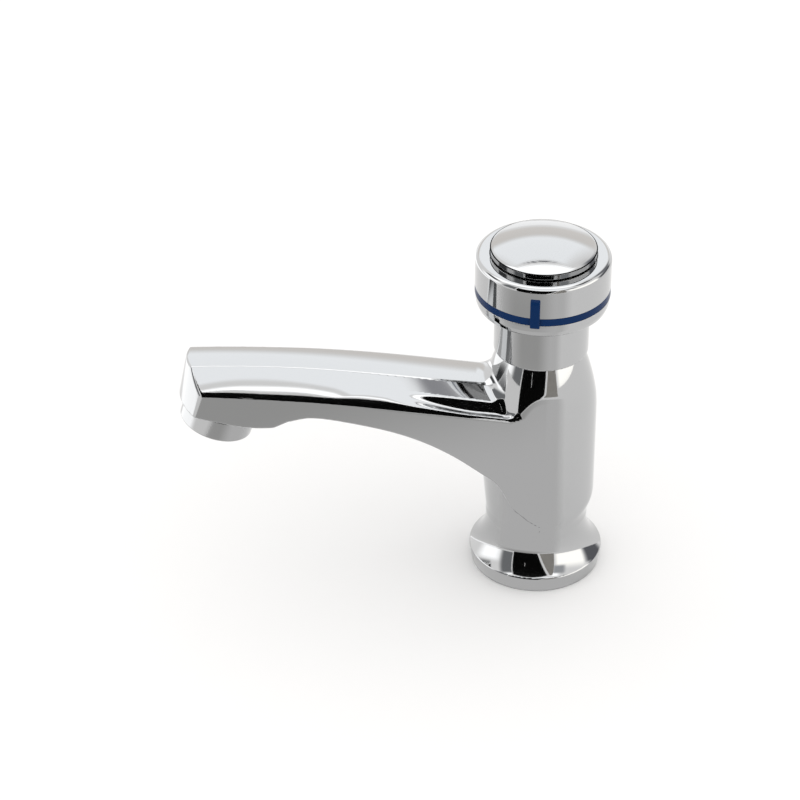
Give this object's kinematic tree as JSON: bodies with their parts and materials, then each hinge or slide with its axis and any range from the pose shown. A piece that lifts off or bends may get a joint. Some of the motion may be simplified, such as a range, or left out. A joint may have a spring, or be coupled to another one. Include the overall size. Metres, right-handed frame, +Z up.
{
  "type": "push button basin tap",
  "caption": "Self-closing pillar tap with a push button head, blue index ring, arched spout and threaded shank.",
  "frame": {"origin": "centre of the base where it meets the deck", "axes": "+Z up along the column, spout towards -Y"},
  "size_m": [0.0502, 0.1569, 0.186],
  "materials": {
    "chrome": "mirror",
    "blue_plastic": "gloss",
    "brass": "machined",
    "steel": "satin",
    "rubber": "matt",
    "white_plastic": "satin",
    "grey_plastic": "matt",
    "fibre": "matt"
  },
  "bodies": {
    "tap": {"body": "chrome", "head_collar": "chrome", "aerator_housing": "chrome", "index_ring": "blue_plastic", "collar_screw": "steel", "bonnet_nut": "brass", "bonnet_seal": "fibre", "stem_seal": "rubber", "cartridge_housing": "white_plastic", "housing_seal_lower": "rubber", "housing_seal_upper": "rubber", "return_spring": "steel", "inlet_shank": "brass", "inlet_filter": "white_plastic", "base_gasket": "rubber", "deck_washer": "rubber", "clamp_washer": "steel", "mounting_nut": "brass", "aerator_gasket": "rubber", "flow_regulator": "grey_plastic", "aerator_insert": "white_plastic"},
    "button": {"push_button": "chrome", "button_locknut": "brass", "stem": "steel", "timing_piston": "grey_plastic", "piston_cup": "rubber", "seat_washer": "rubber", "valve_disc": "brass", "disc_nut": "brass"}
  },
  "joints": [
    {"name": "button_press", "type": "slide", "parent": "tap", "child": "button", "axis": [0, 0, -1], "range_m": [0, 0.004], "stiffness_N_per_m": 900, "springref_m": -0.006, "deforming": ["return_spring"]}
  ]
}
